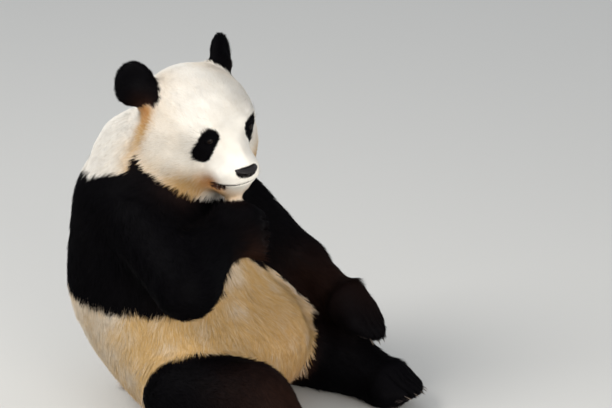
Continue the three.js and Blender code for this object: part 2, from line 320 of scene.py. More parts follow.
SMOOTHING = {
    "trunk": 0.5, "neck": 0.45, "tail": 0.2, "head": 0.15, "ear": 0.05, "eye": 0.16, "nose": 0.16,
    "forepaw": 0.06, "hind_foot": 0.07, "upper_arm": 0.28, "forearm": 0.28, "thigh": 0.28,
    "shin": 0.28,
}
smooth_share = evened(shares(SMOOTHING), edges, 8)
neck_share = evened((owner == UNDER_SKIN.index("neck")).astype(float), edges, 14)
nape_join = np.clip(4 * neck_share * (1 - neck_share), 0, 1)
nape_join *= ramp(-0.15, -0.08, outline[:, 1])
smooth_share = smooth_share + (0.5 - smooth_share) * nape_join * ramp(0.56, 0.62, outline[:, 2])
skin_places = evened(outline, edges, 60, smooth_share)
skin_places = evened(skin_places, edges, 90, 0.5 * nape_join)
put_places(skin_mesh, skin_places)
skin_normals = normals_of(skin_mesh)
lost = evened(((outline - skin_places) * skin_normals).sum(1), edges, 50)
skin_places += skin_normals * lost[:, None]
print("drawn in and put back by up to", round(float(lost.max()) / MM, 1), "mm")

# %% [markdown]
# ## The head's own frame
# The head is turned and tilted on its body. What is worked into the face is far
# easier to place in the head's own millimetres: x forward, y to its left and z up, from the
# middle of the skull.

# %% Turn between the panda's frame and the head's
HEAD_AT = np.array([36.0, -34.0, 700.0])
HEAD_TURN = np.array((
    Matrix.Rotation(math.radians(-27), 3, "Z")
    @ Matrix.Rotation(math.radians(10), 3, "Y")
    @ Matrix.Rotation(math.radians(7), 3, "X")
))
EYE = np.array([101.0, 53.0, 31.0])
EYE_RADIUS = 10.5


def to_head(places):
    return (places / MM - HEAD_AT) @ HEAD_TURN


def from_head(places):
    return (places @ HEAD_TURN.T + HEAD_AT) * MM


low, high = (np.array(corner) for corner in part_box("eye_left"))
print("left eye in the head's frame", np.round(to_head((low + high) / 2), 1))

# %% [markdown]
# ## How deep the coat is
# The solids reach the tips of the coat, so the skin belongs inside them: deep under the
# long hair of the body and ruff, one millimetre on the muzzle. Where the panda sits,
# its weight has pressed the coat flat, and skin and floor nearly meet.

# %% Draw the skin in by the coat's depth
DEPTH = {
    "trunk": 11, "neck": 7, "tail": 2, "head": 4, "ear": 1.5, "eye": 1.5, "nose": 1.5,
    "upper_arm": 10, "forearm": 9, "forepaw": 3.5, "thigh": 11, "shin": 9, "hind_foot": 3.5,
}
SEAT = 1.0 * MM


def face_share(head_places):
    """1 on the short-haired front of the face, 0 on the cheeks, crown and neck."""
    x, y, z = head_places.T
    off_muzzle = np.sqrt((y / 74) ** 2 + ((z + 18) / 88) ** 2)
    return ramp(30, 110, x) * (1 - ramp(0.75, 1.35, off_muzzle))


def owned_by(owner_numbers, *starts):
    numbers = [n for n, name in enumerate(UNDER_SKIN) if name.startswith(starts)]
    return np.isin(owner_numbers, numbers)


def of_head(owner_numbers):
    return owned_by(owner_numbers, "head", "eye", "nose")


depth = shares(DEPTH)
in_head = to_head(skin_places)
on_head = of_head(owner)
face = np.where(on_head, face_share(in_head), 0)
ruff = np.where(on_head, ramp(-30, -120, in_head[:, 2]) * ramp(95, 30, in_head[:, 0]), 0)
depth = depth * (1 - face) + 1.0 * face + 5 * ruff
depth = evened(depth, edges, 14) * MM
depth = SWELL + depth * ramp(2 * MM, 45 * MM, skin_places[:, 2])
skin_places -= skin_normals * depth[:, None]
skin_places = evened(skin_places, edges, 4, smooth_share)
skin_places[:, 2] = np.maximum(skin_places[:, 2], SEAT)
put_places(skin_mesh, skin_places)
print("coat depth", np.round(np.percentile(depth - SWELL, [5, 50, 95]) / MM, 1), "mm")

# %% [markdown]
# ## A finer net for the face and paws
# Seven-millimetre squares carry a flank, but not an eyelid. A whole skin as fine as the lids
# need would be heavy, so only the squares round the face are cut in four, and
# those round the eyes and the mouth once more.

# %% Cut the squares of the face finer
def cut_finer(mesh, chosen):
    form = bmesh.new()
    form.from_mesh(mesh)
    form.faces.ensure_lookup_table()
    picked = {edge for number in np.nonzero(chosen)[0] for edge in form.faces[number].edges}
    bmesh.ops.subdivide_edges(form, edges=list(picked), cuts=1, use_grid_fill=True, smooth=0.0)
    bmesh.ops.triangulate(form, faces=[f for f in form.faces if len(f.verts) > 4])
    form.to_mesh(mesh)
    form.free()


def face_middles(mesh):
    return read(mesh.polygons, "center", 3).astype(float)


def mirrored(head_places):
    """The same places with both halves of the face laid on its left half."""
    return head_places * [1, 0, 1] + np.abs(head_places) * [0, 1, 0]


LIP_X = [96, 104, 122, 150, 167, 190]
LIP_Z = [-91, -86, -77, -70, -67, -66]


def above_lips(head_places):
    """How far a point is above the line where the lips meet."""
    return head_places[:, 2] - np.interp(head_places[:, 0], LIP_X, LIP_Z)


middles = to_head(face_middles(skin_mesh))
by_face = np.linalg.norm(middles - [90, 0, -20], axis=1) < 112
cut_finer(skin_mesh, (middles[:, 0] > 48) & by_face)
middles = mirrored(to_head(face_middles(skin_mesh)))
by_eye = np.linalg.norm(middles - EYE, axis=1) < 25
by_lips = (np.abs(above_lips(middles)) < 13) & (middles[:, 0] > 92)
cut_finer(skin_mesh, by_eye | by_lips)

PAWS = {
    "forepaw_right": [(178, -72, 474), (186, -18, 458), (0.1, -0.12, -0.98), (-1, 0.2, 0)],
    "forepaw_left": [(346, 188, 200), (388, 188, 168), (-0.05, 0.99, 0.02), (0, 0, -1)],
    "hind_foot_right": [(452, -312, 112), (476, -318, 158), (-0.18, -0.97, 0), (1, 0, 0)],
    "hind_foot_left": [(456, 158, 52), (500, 150, 58), (0.12, 0.98, 0), (0, 0, -1)],
}


def in_paw(places, paw):
    """Millimetres ahead of the knuckles, across, and to the sole, with the toes' length."""
    knuckles, tips, across, sole = (np.array(v, float) for v in PAWS[paw])
    ahead = unit(tips - knuckles)
    across = unit(across - ahead * (across @ ahead))
    sole = unit(sole - ahead * (sole @ ahead) - across * (sole @ across))
    off = places / MM - knuckles
    return off @ ahead, off @ across, off @ sole, np.linalg.norm(tips - knuckles)


middles = face_middles(skin_mesh)
by_toes = np.zeros(len(middles), bool)
for paw in PAWS:
    ahead, across, down, toes = in_paw(middles, paw)
    by_toes |= (ahead > -32) & (np.hypot(ahead - 10, across) < 86) & (np.abs(down) < 45)
cut_finer(skin_mesh, by_toes)
skin_places = places_of(skin_mesh)
owner = owners(skin_places)
edges = edges_of(skin_mesh)
in_head = to_head(skin_places)
fine = of_head(owner) & (in_head[:, 0] > 40)
skin_places = evened(skin_places, edges, 6, np.where(fine, 0.5, 0.0))
put_places(skin_mesh, skin_places)
print("skin points", len(skin_places))

# %% [markdown]
# ## The forms of the face
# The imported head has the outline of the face, and the remesh has softened what lies inside
# it. Bone and muscle show as shallow swells and hollows, so each is a soft spot, the
# same on both sides, where the skin is moved in or out by a few millimetres.

# %% Model brows, bridge, muzzle and cheeks
FACE_FORMS = {
    "brows": ((98, 46, 62), (18, 24, 10), 3.0),
    "stop between the eyes": ((114, 0, 44), (20, 16, 20), -3.0),
    "bridge of the nose": ((138, 0, 2), (26, 9, 22), 3.0),
    "hollow beside the bridge": ((122, 33, 16), (16, 10, 18), -3.0),
    "hollow behind the muzzle": ((122, 48, -26), (16, 11, 24), -4.0),
    "lips beside the nose": ((156, 27, -56), (17, 13, 13), 3.0),
    "cheeks": ((74, 86, -44), (26, 22, 26), 4.0),
    "sides of the chin": ((116, 27, -100), (24, 15, 15), 6.0),
}
half_head = mirrored(to_head(skin_places))
swell = np.zeros(len(skin_places))
for place, reach, height in FACE_FORMS.values():
    swell += height * np.exp(-(((half_head - place) / reach) ** 2).sum(1))
swell *= of_head(owner)
skin_places += normals_of(skin_mesh) * (swell * MM)[:, None]
put_places(skin_mesh, skin_places)
in_head = to_head(skin_places)
print("face moved by", np.round([swell.min(), swell.max()], 1), "mm")

# %% [markdown]
# ## Eyelids
# A panda's eyes are small, dark and set in thick lids. Seen from the eyeball's centre,
# the skin round it is a cap: over the lids it lies just above the ball, and inside
# the almond-shaped opening it drops behind the ball's surface. So each point of skin
# near an eye is moved along its own line from that centre.

# %% Work the lids into the skin
GAZE = unit(np.array([0.90, 0.43, 0.02]))
OPENING = (8.8, 5.0)
LID_SLANT = math.radians(-24)
LID = 1.5


def eye_axes():
    outward = unit(np.cross([0, 0, 1], GAZE))
    upward = np.cross(GAZE, outward)
    across = math.cos(LID_SLANT) * outward + math.sin(LID_SLANT) * upward
    return across, np.cross(GAZE, across)


def lid_reading(head_places):
    """How far from the gaze each point is, and its place in the almond, where 1 is the rim."""
    across, over = eye_axes()
    away = mirrored(head_places) - EYE
    a, b, ahead = away @ across, away @ over, away @ GAZE
    along = a / OPENING[0]
    almond = np.hypot(along, b / (OPENING[1] * (1 - 0.25 * along ** 2).clip(0.5)))
    return away, np.hypot(a, b), ahead, almond


def with_lids(head_places):
    away, off_gaze, ahead, almond = lid_reading(head_places)
    distance = np.linalg.norm(away, axis=1)
    over_ball = EYE_RADIUS + LID + 0.9 * np.exp(-((almond - 1.25) / 0.22) ** 2)
    wanted = over_ball - (LID + 4.0) * ramp(1.08, 0.86, almond)
    pull = ramp(27, 12, off_gaze) * (ahead > -6)
    moved = EYE + away * (1 + pull * (wanted / np.maximum(distance, 1) - 1))[:, None]
    side = np.where(head_places[:, 1:2] < 0, -1, 1)
    return np.hstack([moved[:, :1], moved[:, 1:2] * side, moved[:, 2:]])


near_eye = fine & (np.linalg.norm(mirrored(in_head) - EYE, axis=1) < 32)
skin_places[near_eye] = from_head(with_lids(in_head[near_eye]))
put_places(skin_mesh, skin_places)
print("lid points", int(near_eye.sum()))

# %% [markdown]
# ## The mouth
# The lips meet in a long line that runs back under the cheek and opens a little at its
# corner, where the panda holds its food. It's pressed in as a soft groove along the
# skin's own normals, with a short groove down from the nose to meet it.

# %% Press in the mouth
CORNER = (120, -84)
CORNER_REACH = (25, 12.5)
FAR_OFF = 9.0


def mouth_corner(head_places):
    """Below 1 inside the open corner of the mouth, as seen from the side."""
    x, y, z = head_places.T
    tilt = 0.35 * (x - CORNER[0])
    off = np.hypot((x - CORNER[0]) / CORNER_REACH[0], (z - CORNER[1] - tilt) / CORNER_REACH[1])
    return np.where(np.abs(y) > 14, off, FAR_OFF)


def mouth_press(head_places):
    x, y, z = head_places.T
    gap = above_lips(head_places)
    corner = mouth_corner(head_places)
    line = ramp(104, 112, x) * np.exp(-(gap / 2.0) ** 2) * 4.0
    line = np.maximum(line, 11.0 * ramp(1.1, 0.3, corner))
    swell = ramp(98, 110, x) * np.exp(-((gap - 8) / 4.5) ** 2) * 1.8 * (corner > 1)
    swell += ramp(98, 118, x) * np.exp(-((gap + 6) / 3.5) ** 2) * 0.6 * (corner > 1)
    split = ramp(150, 165, x) * np.exp(-(y / 1.7) ** 2) * ramp(-3, 1, gap) * ramp(17, 11, gap) * 2.6
    return swell - line - split


NOSE = np.array([166.0, 0.0, -36.0])
NOSE_RADII = np.array([19.0, 29.0, 17.0])


def off_nose(head_places):
    """Below 1 inside the nose pad."""
    return np.sqrt((((head_places - NOSE) / NOSE_RADII) ** 2).sum(1))


in_head = to_head(skin_places)
skin_normals = normals_of(skin_mesh)
press = np.where(fine, mouth_press(in_head), 0) * MM
skin_places += skin_normals * press[:, None]
under_nose = np.where(fine, ramp(1.0, 0.78, off_nose(in_head)), 0) * ramp(146, 156, in_head[:, 0])
in_head = to_head(skin_places)
in_head[:, 0] -= 15 * under_nose
skin_places[fine] = from_head(in_head[fine])
put_places(skin_mesh, skin_places)
print("mouth is", round(float(-press.min()) / MM, 1), "mm deep")

# %% [markdown]
# ## Toes and pads
# A panda's paw is a row of five short toes in a shallow arc. Each has a bare, leathery pad under
# its tip, and a broad pad lies behind them, so the sole is not furry all over. The remesh has
# rounded the toes into one stump, so grooves are pressed in between them, and the pads
# are swollen by a few millimetres.

# %% Part the toes and swell the pads
skin_normals = normals_of(skin_mesh)
pads = np.zeros(len(skin_places))
toe_press = np.zeros(len(skin_places))
for paw in PAWS:
    pitch = 24 if paw.startswith("forepaw") else 22
    ahead, across, down, toes = in_paw(skin_places, paw)
    mine = owner == UNDER_SKIN.index(paw)
    spread = across / (pitch * (1 - 0.08 * np.clip(ahead / toes, 0, 1)))
    arc = ahead + 4.5 * np.clip(spread, -2.3, 2.3) ** 2
    to_gap = np.abs(spread - (np.floor(spread) + 0.5)) * pitch
    parted = np.exp(-(to_gap / 3.4) ** 2) * ramp(-26, 14, arc) * (np.abs(spread) < 2.05)
    toe_press += np.where(mine, parted * (4.5 + 4.5 * ramp(0, toes, arc)), 0)
    to_toe = np.abs(spread - np.round(np.clip(spread, -2, 2))) * pitch
    toe_pad = np.hypot((arc - toes + 4) / 10, to_toe / 8.5)
    palm_pad = np.hypot((arc + 9) / 11, np.maximum(np.abs(spread) - 1.45, 0) / 0.45)
    heel_pad = FAR_OFF
    if paw.startswith("forepaw"):
        heel_pad = np.hypot((ahead + 50) / 12, (spread - 1.1) / 0.55)
    pad = np.minimum(np.minimum(toe_pad, palm_pad), heel_pad)
    pads = np.maximum(pads, np.where(mine, ramp(1.1, 0.85, pad) * ramp(2, 10, down), 0))
skin_places += skin_normals * ((3.0 * pads - toe_press) * MM)[:, None]
skin_places[:, 2] = np.maximum(skin_places[:, 2], SEAT)
put_places(skin_mesh, skin_places)
print("pads cover", int((pads > 0.5).sum()), "points")

# %% [markdown]
# ## Markings
# Black and white meet along soft, slightly ragged lines. The black of limbs and ears
# starts where those solids do. A black band crosses the shoulders and chest, and
# each eye lies in the upper end of a slanting patch. Where a sitting panda
# rests, eats and rubs, white hair is stained cream, tan and rust. Tan is also painted shade under
# the chin, along the low ruff and in the crease behind the cheek. Each marking is a number
# from 0 to 1 at each point of the skin. A tuft takes its stains from its root, and is black
# or white by the skin under a point a third of the way along it.

# %% Waves for natural unevenness
def waves(places, size, seed):
    """A smooth random number from about -1 to 1 at each place, with bumps about size across."""
    rng = np.random.default_rng(seed)
    total = np.zeros(len(places))
    for _ in range(7):
        way = unit(rng.normal(size=3)) * rng.uniform(0.6, 1.5) * 2 * math.pi / size
        total += np.sin(places @ way + rng.uniform(0, 2 * math.pi))
    return total / 2.6


def near(places, centre, reach):
    """1 at the centre, falling away over its reach."""
    return np.exp(-(((places - centre) / reach) ** 2).sum(1))


# %% Paint the black
def evened_share(times, *starts):
    """1 on the skin of some solids and 0 off it, with the step between them softened."""
    return evened(owned_by(owner, *starts).astype(float), edges, times)


row = skin_places / MM
in_head = to_head(skin_places)
half_head = mirrored(in_head)
ragged = waves(row, 44, 3) * 4 + waves(row, 15, 4) * 2

limbs = ramp(0.36, 0.64, evened_share(5, *LIMBS) + 0.05 * waves(row, 22, 5))
ears = evened_share(3, "ear_")
ear_root = near(half_head, [-47, 94, 80], [29, 24, 25])
ears = np.maximum(ramp(0.18, 0.48, ears), ramp(0.42, 0.56, ear_root + 0.03 * waves(row, 14, 8)))
x, y, z = row.T
band_top = 617 + 0.26 * (x + 92) + 90 * ramp(-92, -62, x)
band_low = 300 + 95 * np.exp(-((y + 5) / 92) ** 2)
band = ramp(-7, 7, band_top - z + ragged) * ramp(-9, 9, z - band_low + ragged)
band = band * (1 - evened_share(1, "head", "ear_", "eye", "nose"))
PATCH_TOP = np.array([107.0, 56.0, 40.0])
PATCH_FOOT = np.array([90.0, 68.0, -8.0])
PATCH_REACH = 22.5


def off_patch(head_places):
    """Millimetres from the line down the middle of an eye patch. The left one is wider inwards."""
    y = head_places[:, 1]
    wider = ramp(-5, 5, y) * ramp(60, 30, np.abs(y))
    places = mirrored(head_places) + np.outer(wider, [0, 13, 0])
    down = PATCH_FOOT - PATCH_TOP
    share = np.clip((places - PATCH_TOP) @ down / (down @ down), 0, 1)
    return np.linalg.norm(places - PATCH_TOP - np.outer(share, down), axis=1)


patch_edge = off_patch(in_head) + 0.7 * waves(row, 12, 6)
eye_patch = ramp(PATCH_REACH + 1.8, PATCH_REACH - 1.8, patch_edge)
off_gaze = lid_reading(in_head)[1]
eye_patch = np.maximum(eye_patch, ramp(19, 15, off_gaze))
eye_patch = eye_patch * (in_head[:, 0] > 30) * of_head(owner)
gap = above_lips(in_head)
lip = np.where(fine, ramp(104, 114, in_head[:, 0]), 0) * ramp(3.0, 1.4, np.abs(gap))
corner = np.where(fine, mouth_corner(in_head), FAR_OFF)
# Black lips, with black also painted into the open corner as its shade.
lip = np.maximum(lip, ramp(1.25, 0.8, corner + 0.14 * waves(row, 9, 9)))
nose_bed = np.where(fine, ramp(1.06, 0.98, off_nose(in_head + [8, 0, 0] * under_nose[:, None])), 0)
black = np.maximum.reduce([limbs, ears, band, eye_patch, lip, nose_bed])
print("black share of the skin's points", round(float(black.mean()), 2))

# %% Stain the white and paint shade under the head
on_trunk = evened_share(6, "trunk", "tail")
on_neck = evened_share(3, "neck")
rump = ramp(520, 350, z) * (0.62 + 0.38 * ramp(-220, -20, x)) * on_trunk
seat = ramp(150, 30, z) * on_trunk
blotch = 0.5 + 0.5 * waves(row, 90, 7)
tan = 0.66 * rump
rust = 0.30 * seat

# Each entry has its middle and reach in millimetres, where it may show, and its tan and rust. Most are
# stains; some are painted shade, as marked.
STAINS_AND_PAINTED_SHADE = {
    "crown": (half_head, (-40, 64, 122), (62, 40, 50), 1, 0.24, 0),
    "temple": (half_head, (-20, 112, 40), (76, 44, 64), 1, 0.26, 0),
    "below the ear": (half_head, (-54, 122, 48), (25, 30, 30), 1, 0.80, 0.80),
    # Partly a real tan stain, partly painted shade in the crease between head and neck.
    "crease behind the cheek": (half_head, (-48, 142, -4), (26, 36, 66), 1, 0.60, 0.16),
    # Partly a real tan stain, partly painted shade under the head.
    "low ruff": (half_head, (44, 78, -96), (64, 56, 34), 1, 1.00, 0.20),
    "outer ruff": (half_head, (-6, 122, -76), (66, 60, 42), 1, 0.70, 0),
    "top of the muzzle": (in_head, (140, 0, -6), (22, 20, 16), 1, 0.14, 0.08),
    "by the mouth": (half_head, (108, 52, -84), (32, 24, 25), 1, 0.40, 0.95),
    # Painted shadow: the muzzle's shadow under the chin, in tan and rust.
    "under the chin": (half_head, (126, 8, -106), (38, 34, 20), 1, 0.80, 0.26),
    "side of the neck": (row, (-60, -165, 600), (60, 60, 60), on_neck, 0.40, 0),
    "belly": (row, (190, 10, 220), (190, 210, 170), on_trunk, 0.50, 0.18),
    "flank": (row, (40, -230, 230), (150, 120, 90), on_trunk, 0.30, 0),
    "between the legs": (row, (270, -10, 50), (110, 150, 85), on_trunk, 0, 0.60),
    "right knee": (row, (300, -258, 160), (90, 70, 60), limbs, 0, 0.55),
    "right wrist": (row, (150, -96, 430), (60, 60, 44), limbs, 0, 0.50),
    "left arm": (row, (220, 240, 260), (130, 90, 80), limbs, 0, 0.30),
}
# Stains and painted shade are added into tan and rust alike.
for places, middle, reach, shown, tan_share, rust_share in STAINS_AND_PAINTED_SHADE.values():
    stain_and_shade = near(places, middle, reach) * shown
    tan = tan + tan_share * stain_and_shade
    rust = rust + rust_share * stain_and_shade
tan = np.clip(tan * (0.80 + 0.36 * blotch) + 0.05 * blotch, 0, 1)
rust = np.clip(rust, 0, 1)
for label, values in {"black": black, "tan": tan, "rust": rust, "pad": pads}.items():
    put_values(skin_mesh, label, values)

# %% [markdown]
# ## Colours of the coat
# Skin and tufts share one shader group, so a marking has the same colour on both. It
# goes from white through tan and rust to black, and each tuft's own shade keeps the coat
# from looking like paint. White hair darkens towards its root with painted shade, and black
# hair lightens towards its tip with a painted sheen. A second group is the fine grain of hair that
# shows as relief on the bare skin between tufts.

# %% Build the two shader groups
def new_group(name, inputs, outputs):
    group = bpy.data.node_groups.new(name, "ShaderNodeTree")
    for label, kind, value in inputs:
        socket = group.interface.new_socket(label, in_out="INPUT", socket_type=kind)
        socket.default_value = value
    for label, kind in outputs:
        group.interface.new_socket(label, in_out="OUTPUT", socket_type=kind)
    return group, group.nodes.new("NodeGroupInput"), group.nodes.new("NodeGroupOutput")


def feed(tree, node, values):
    """Gives a node's numbered inputs sockets, plain numbers or plain colours."""
    for number, value in values.items():
        if isinstance(value, bpy.types.NodeSocket):
            tree.links.new(value, node.inputs[number])
        else:
            plain = value if isinstance(value, float) else (*value, 1)
            node.inputs[number].default_value = plain


def blended(tree, factor, first, second):
    """A mix of two colours."""
    node = tree.nodes.new("ShaderNodeMix")
    node.data_type = "RGBA"
    feed(tree, node, {0: factor, 6: first, 7: second})
    return node.outputs[2]


def worked_out(tree, how, first, second):
    """One sum of two numbers."""
    node = tree.nodes.new("ShaderNodeMath")
    node.operation = how
    feed(tree, node, {0: first, 1: second})
    return node.outputs[0]


def object_texture(tree, kind, scale):
    """A texture laid out in the thing's own metres."""
    place = tree.nodes.new("ShaderNodeTexCoord")
    texture = tree.nodes.new(kind)
    texture.inputs["Scale"].default_value = scale
    tree.links.new(place.outputs["Object"], texture.inputs["Vector"])
    return texture


WHITE = (0.92, 0.90, 0.85)
CREAM = (0.87, 0.81, 0.70)
TAN = (0.60, 0.37, 0.13)
RUST = (0.43, 0.165, 0.04)
# Painted shade: the warm shadow between hairs, mixed in towards each tuft's root.
PAINTED_ROOT_SHADE = (0.34, 0.26, 0.17)
BLACK = (0.0012, 0.0011, 0.0014)
# Painted sheen: black hair towards its tip, a little lighter and bluer.
BLACK_SHEEN_TIP = (0.0038, 0.0034, 0.0044)
BROWN = (0.060, 0.026, 0.016)
PAD = (0.030, 0.024, 0.023)

# The skin reads no Along, so it takes 0.9 and gets a little of the painted root shade.
COAT_INPUTS = {"Black": 0.0, "Tan": 0.0, "Rust": 0.0, "Pad": 0.0, "Shade": 0.5, "Along": 0.9}
coat_colour, given, result = new_group(
    "coat_colour",
    [(label, "NodeSocketFloat", value) for label, value in COAT_INPUTS.items()],
    [("Color", "NodeSocketColor")])
pale = blended(coat_colour, given.outputs["Shade"], CREAM, WHITE)
stained_and_shaded = blended(coat_colour, given.outputs["Tan"], pale, TAN)
stained_and_shaded = blended(coat_colour, given.outputs["Rust"], stained_and_shaded, RUST)
# White hair is drawn towards the painted shade near its root, half-way to it at the root itself.
to_root = worked_out(coat_colour, "SUBTRACT", 1.0, given.outputs["Along"])
stained_and_shaded = blended(coat_colour, worked_out(coat_colour, "MULTIPLY", to_root, 0.5), stained_and_shaded, PAINTED_ROOT_SHADE)
# Black hair takes the painted sheen towards its tip, more on tufts of a paler shade.
tip = worked_out(coat_colour, "MULTIPLY", given.outputs["Along"], given.outputs["Shade"])
dark = blended(coat_colour, tip, BLACK, BLACK_SHEEN_TIP)
dark = blended(coat_colour, given.outputs["Rust"], dark, BROWN)
dark = blended(coat_colour, given.outputs["Pad"], dark, PAD)
either = blended(coat_colour, given.outputs["Black"], stained_and_shaded, dark)
coat_colour.links.new(either, result.inputs["Color"])

hair_grain, given, result = new_group(
    "hair_grain",
    [("Scale", "NodeSocketFloat", 320.0), ("Strength", "NodeSocketFloat", 0.4)],
    [("Normal", "NodeSocketVector")])
noise = object_texture(hair_grain, "ShaderNodeTexNoise", 320)
noise.inputs["Detail"].default_value = 4
hair_grain.links.new(given.outputs["Scale"], noise.inputs["Scale"])
bump = hair_grain.nodes.new("ShaderNodeBump")
bump.inputs["Distance"].default_value = 0.001
hair_grain.links.new(given.outputs["Strength"], bump.inputs["Strength"])
hair_grain.links.new(noise.outputs["Fac"], bump.inputs["Height"])
hair_grain.links.new(bump.outputs["Normal"], result.inputs["Normal"])


# %% Make the materials of skin and coat
def group_in(material, group):
    node = material.node_tree.nodes.new("ShaderNodeGroup")
    node.node_tree = group
    return node


def attribute_of(material, name):
    node = material.node_tree.nodes.new("ShaderNodeAttribute")
    node.attribute_name = name
    return node.outputs["Fac"]


def furry_material(name, roughness, *labels):
    """A matt coat whose colours come from the attributes named in small letters."""
    material, tree, shader = new_material(name, roughness, 0.025)
    colour = group_in(material, coat_colour)
    for label in labels:
        tree.links.new(attribute_of(material, label.lower()), colour.inputs[label])
    tree.links.new(colour.outputs["Color"], shader.inputs["Base Color"])
    return material, shader


MARKINGS = ("Black", "Tan", "Rust")
coat_material, _ = furry_material("coat_hair", 0.6, *MARKINGS, "Shade", "Along")
skin_material, skin_shader = furry_material("skin_under_coat", 0.7, *MARKINGS, "Pad")
grain = group_in(skin_material, hair_grain)
skin_material.node_tree.links.new(grain.outputs["Normal"], skin_shader.inputs["Normal"])

# %% [markdown]
# ## The lie of the coat
# Hair points away from the nose over the head, down the neck and trunk, and along
# each limb to its toes. Every point of the skin gets such a direction by its solid, the
# directions are evened so that they turn slowly where solids meet, and then laid into
# the surface.

# %% Comb the skin
ARM_LINES = {
    "right": [(-70, -160, 505), (118, -285, 408), (134, -108, 492), (186, -18, 458)],
    "left": [(-50, 156, 500), (125, 282, 270), (286, 194, 240), (388, 188, 168)],
}
LEG_LINES = {
    "right": [(88, -210, 119), (268, -258, 138), (412, -300, 59), (476, -318, 158)],
    "left": [(70, 196, 104), (262, 215, 88), (405, 170, 58), (500, 150, 58)],
}


def lie_by_owner():
    lie = np.zeros_like(row)
    away_from_axis = unit(row * [1, 1, 0] + [30, 0, 0])
    down = np.array([0, 0, -1.0]) + 0.35 * away_from_axis
    lie[:] = down
    for side in ("right", "left"):
        for lines, names in ((ARM_LINES, LIMBS[:3]), (LEG_LINES, LIMBS[3:])):
            points = np.array(lines[side], float)
            for k, name in enumerate(names):
                mine = owner == UNDER_SKIN.index(f"{name}_{side}")
                lie[mine] = unit(points[k + 1] - points[k]) + 0.3 * down[mine]
    head = of_head(owner)
    from_nose = unit(in_head - [175, 0, -30])
    from_nose += unit(in_head * [0, 1, 1]) * 0.25
    from_nose += np.array([0, 0, -1.1]) * ramp(60, -60, in_head[:, [0]]) * ramp(40, -60, in_head[:, [2]])
    lie[head] = (unit(from_nose) @ HEAD_TURN.T)[head]
    neck = owner == UNDER_SKIN.index("neck")
    lie[neck] = [-0.45, 0, -0.9]
    for side, sign in (("right", -1), ("left", 1)):
        ear = owner == UNDER_SKIN.index(f"ear_{side}")
        outward = unit(in_head - [-60, sign * 88, 72]) @ HEAD_TURN.T
        lie[ear] = outward[ear]
    return unit(lie)


def laid_in(lie, normals):
    return unit(lie - normals * (lie * normals).sum(-1, keepdims=True))


skin_normals = normals_of(skin_mesh)
lie = laid_in(evened(laid_in(lie_by_owner(), skin_normals), edges, 12), skin_normals)
turn = 0.32 * waves(row, 70, 11) + 0.22 * waves(row, 24, 12)
lie = laid_in(lie + np.cross(skin_normals, lie) * turn[:, None], skin_normals)


def curving(places, normals, way):
    """How fast the skin curves away along the lie, in turns of the normal per metre."""
    a, b = edges.T
    step = places[b] - places[a]
    size = (step ** 2).sum(1)
    bend = ((normals[b] - normals[a]) * step).sum(1) / size
    total, weights = np.zeros(len(places)), np.full(len(places), 1e-9)
    for end in (a, b):
        weight = (way[end] * step).sum(1) ** 2 / size
        total += np.bincount(end, weight * bend, len(places))
        weights += np.bincount(end, weight, len(places))
    return np.clip(evened(total / weights, edges, 5), -8, 26)


roundness = curving(skin_places, skin_normals, lie)
print("combed", len(lie), "points, middle roundness", round(float(np.median(roundness)), 1))

# %% [markdown]
# ## Length, width and closeness
# The coat is a few millimetres long on the muzzle, about four centimetres on the body, and
# longest on the tail, the forearms and the ruff. Short hair is also fine and close.
# As with the markings, each is a number at every point of the skin.

# %% Set the coat's measures
# Length, width and spacing in millimetres, and the share of its length that a tuft rises.
MEASURES = {
    "trunk": (38, 2.1, 2.45, 0.30),
    "neck": (28, 2.0, 2.2, 0.22),
    "tail": (50, 2.2, 2.0, 0.70),
    "head": (17, 1.6, 1.9, 0.32),
    "ear": (15, 1.7, 1.8, 0.50),
    "eye": (4, 1.0, 1.6, 0.20),
    "nose": (4, 1.0, 1.6, 0.20),
    "upper_arm": (38, 2.6, 2.95, 0.34),
    "forearm": (42, 2.5, 2.8, 0.36),
    "forepaw": (13, 2.0, 2.5, 0.40),
    "thigh": (38, 2.6, 3.0, 0.34),
    "shin": (34, 2.5, 2.9, 0.34),
    "hind_foot": (13, 2.0, 2.5, 0.40),
}
coat_length, coat_width, coat_spacing, coat_rise = (
    shares({name: measures[k] for name, measures in MEASURES.items()}) for k in range(4))
x, _, z = in_head.T
face = np.where(of_head(owner), face_share(in_head), 0)
ruff = np.where(of_head(owner), ramp(-25, -110, z) * ramp(95, 20, x), 0)
cheek_back = np.where(of_head(owner), ramp(40, -60, x) * ramp(60, -40, z), 0)
coat_length = coat_length * (1 - 0.6 * face) + 18 * ruff + 10 * cheek_back
coat_width = coat_width * (1 - 0.34 * face)
coat_spacing = coat_spacing * (1 - 0.32 * face)
coat_rise = coat_rise * (1 - 0.3 * face) + 0.12 * ruff
coat_length, coat_width, coat_spacing, coat_rise = (
    evened(values, edges, 10) for values in (coat_length, coat_width, coat_spacing, coat_rise))
coat_length = coat_length * (1 + 0.15 * waves(row, 45, 21))

away, off_gaze, ahead, almond = lid_reading(in_head)
by_lid = of_head(owner) * (off_gaze < 22) * (ahead > 0)
off_lips = np.minimum(np.abs(gap), 12 * np.maximum(corner - 1, 0) + 2)
for there, longest in (
    (by_lid > 0, 3 + 0.25 * off_gaze),
    (fine & (x > 96), 3 + 0.7 * off_lips),
    (fine & (x > 80) & (z < -84), 14),
):
    coat_length = np.where(there, np.minimum(coat_length, longest), coat_length)
bare = (nose_bed > 0.5) | ((by_lid > 0) & (almond < 1.35)) | (lip > 0.3) | (pads > 0.5)
print("coat length", np.round(np.percentile(coat_length, [5, 50, 95]), 0), "mm")

# %% [markdown]
# ## The unwrap
# Each tuft gets a small patch of a flat map, the OFBake layer. Its patch lies
# where its root is on an unwrap of the skin, so neighbours on the panda are
# neighbours in the map. The unwrap is of the whole skin, by the way its faces look.

